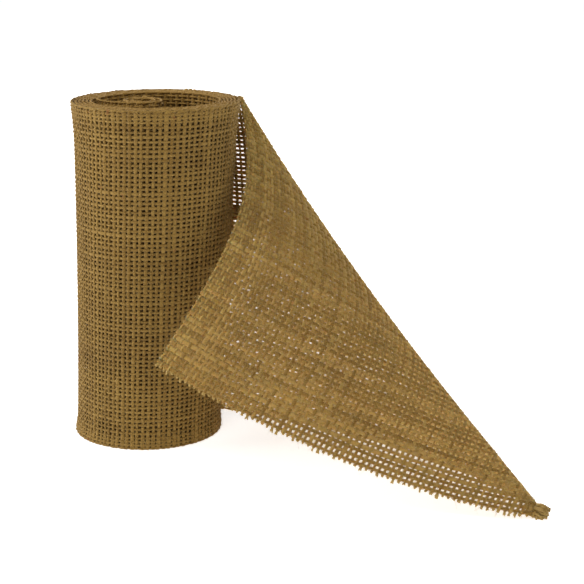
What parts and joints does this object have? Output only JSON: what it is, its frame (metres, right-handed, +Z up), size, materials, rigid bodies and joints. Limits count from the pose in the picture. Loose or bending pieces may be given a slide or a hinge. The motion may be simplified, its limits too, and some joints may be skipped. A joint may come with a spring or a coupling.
{
  "type": "ribbon spool",
  "caption": "Upright coreless roll of open-weave natural jute gift ribbon, with a free tail folded over on the slant into a loose three-cornered flap.",
  "frame": {"origin": "middle of the whole part's bounding box, at the level of its base", "axes": "+Z up along the roll, +X from the roll towards the tail's tip, -Y towards the side on which the flap falls"},
  "size_m": [0.1986, 0.1504, 0.1501],
  "materials": {
    "jute_roll": "open plain-weave natural jute yarn, dull and hairy",
    "jute_inner": "open plain-weave natural jute yarn, dull and hairy",
    "jute_tail": "open plain-weave natural jute yarn, dull, with a frayed cut end"
  },
  "bodies": {
    "roll": {"inner_curl": "jute_inner", "wound_layers": "jute_roll", "outer_wrap": "jute_roll"},
    "tail": {"tail_wall": "jute_tail"},
    "flap": {"tail_flap": "jute_tail"}
  },
  "joints": [
    {"name": "tail_swing", "type": "hinge", "parent": "roll", "child": "tail", "pos_m": [-0.02834, 0.06131, 0.00007], "axis": [0, 0, 1], "range_deg": [-3, 30]},
    {"name": "flap_fold", "type": "hinge", "parent": "tail", "child": "flap", "pos_m": [0.03738, -0.00832, 0.07409], "axis": [-0.5226, 0.5668, 0.6369], "range_deg": [-4, 45]}
  ]
}
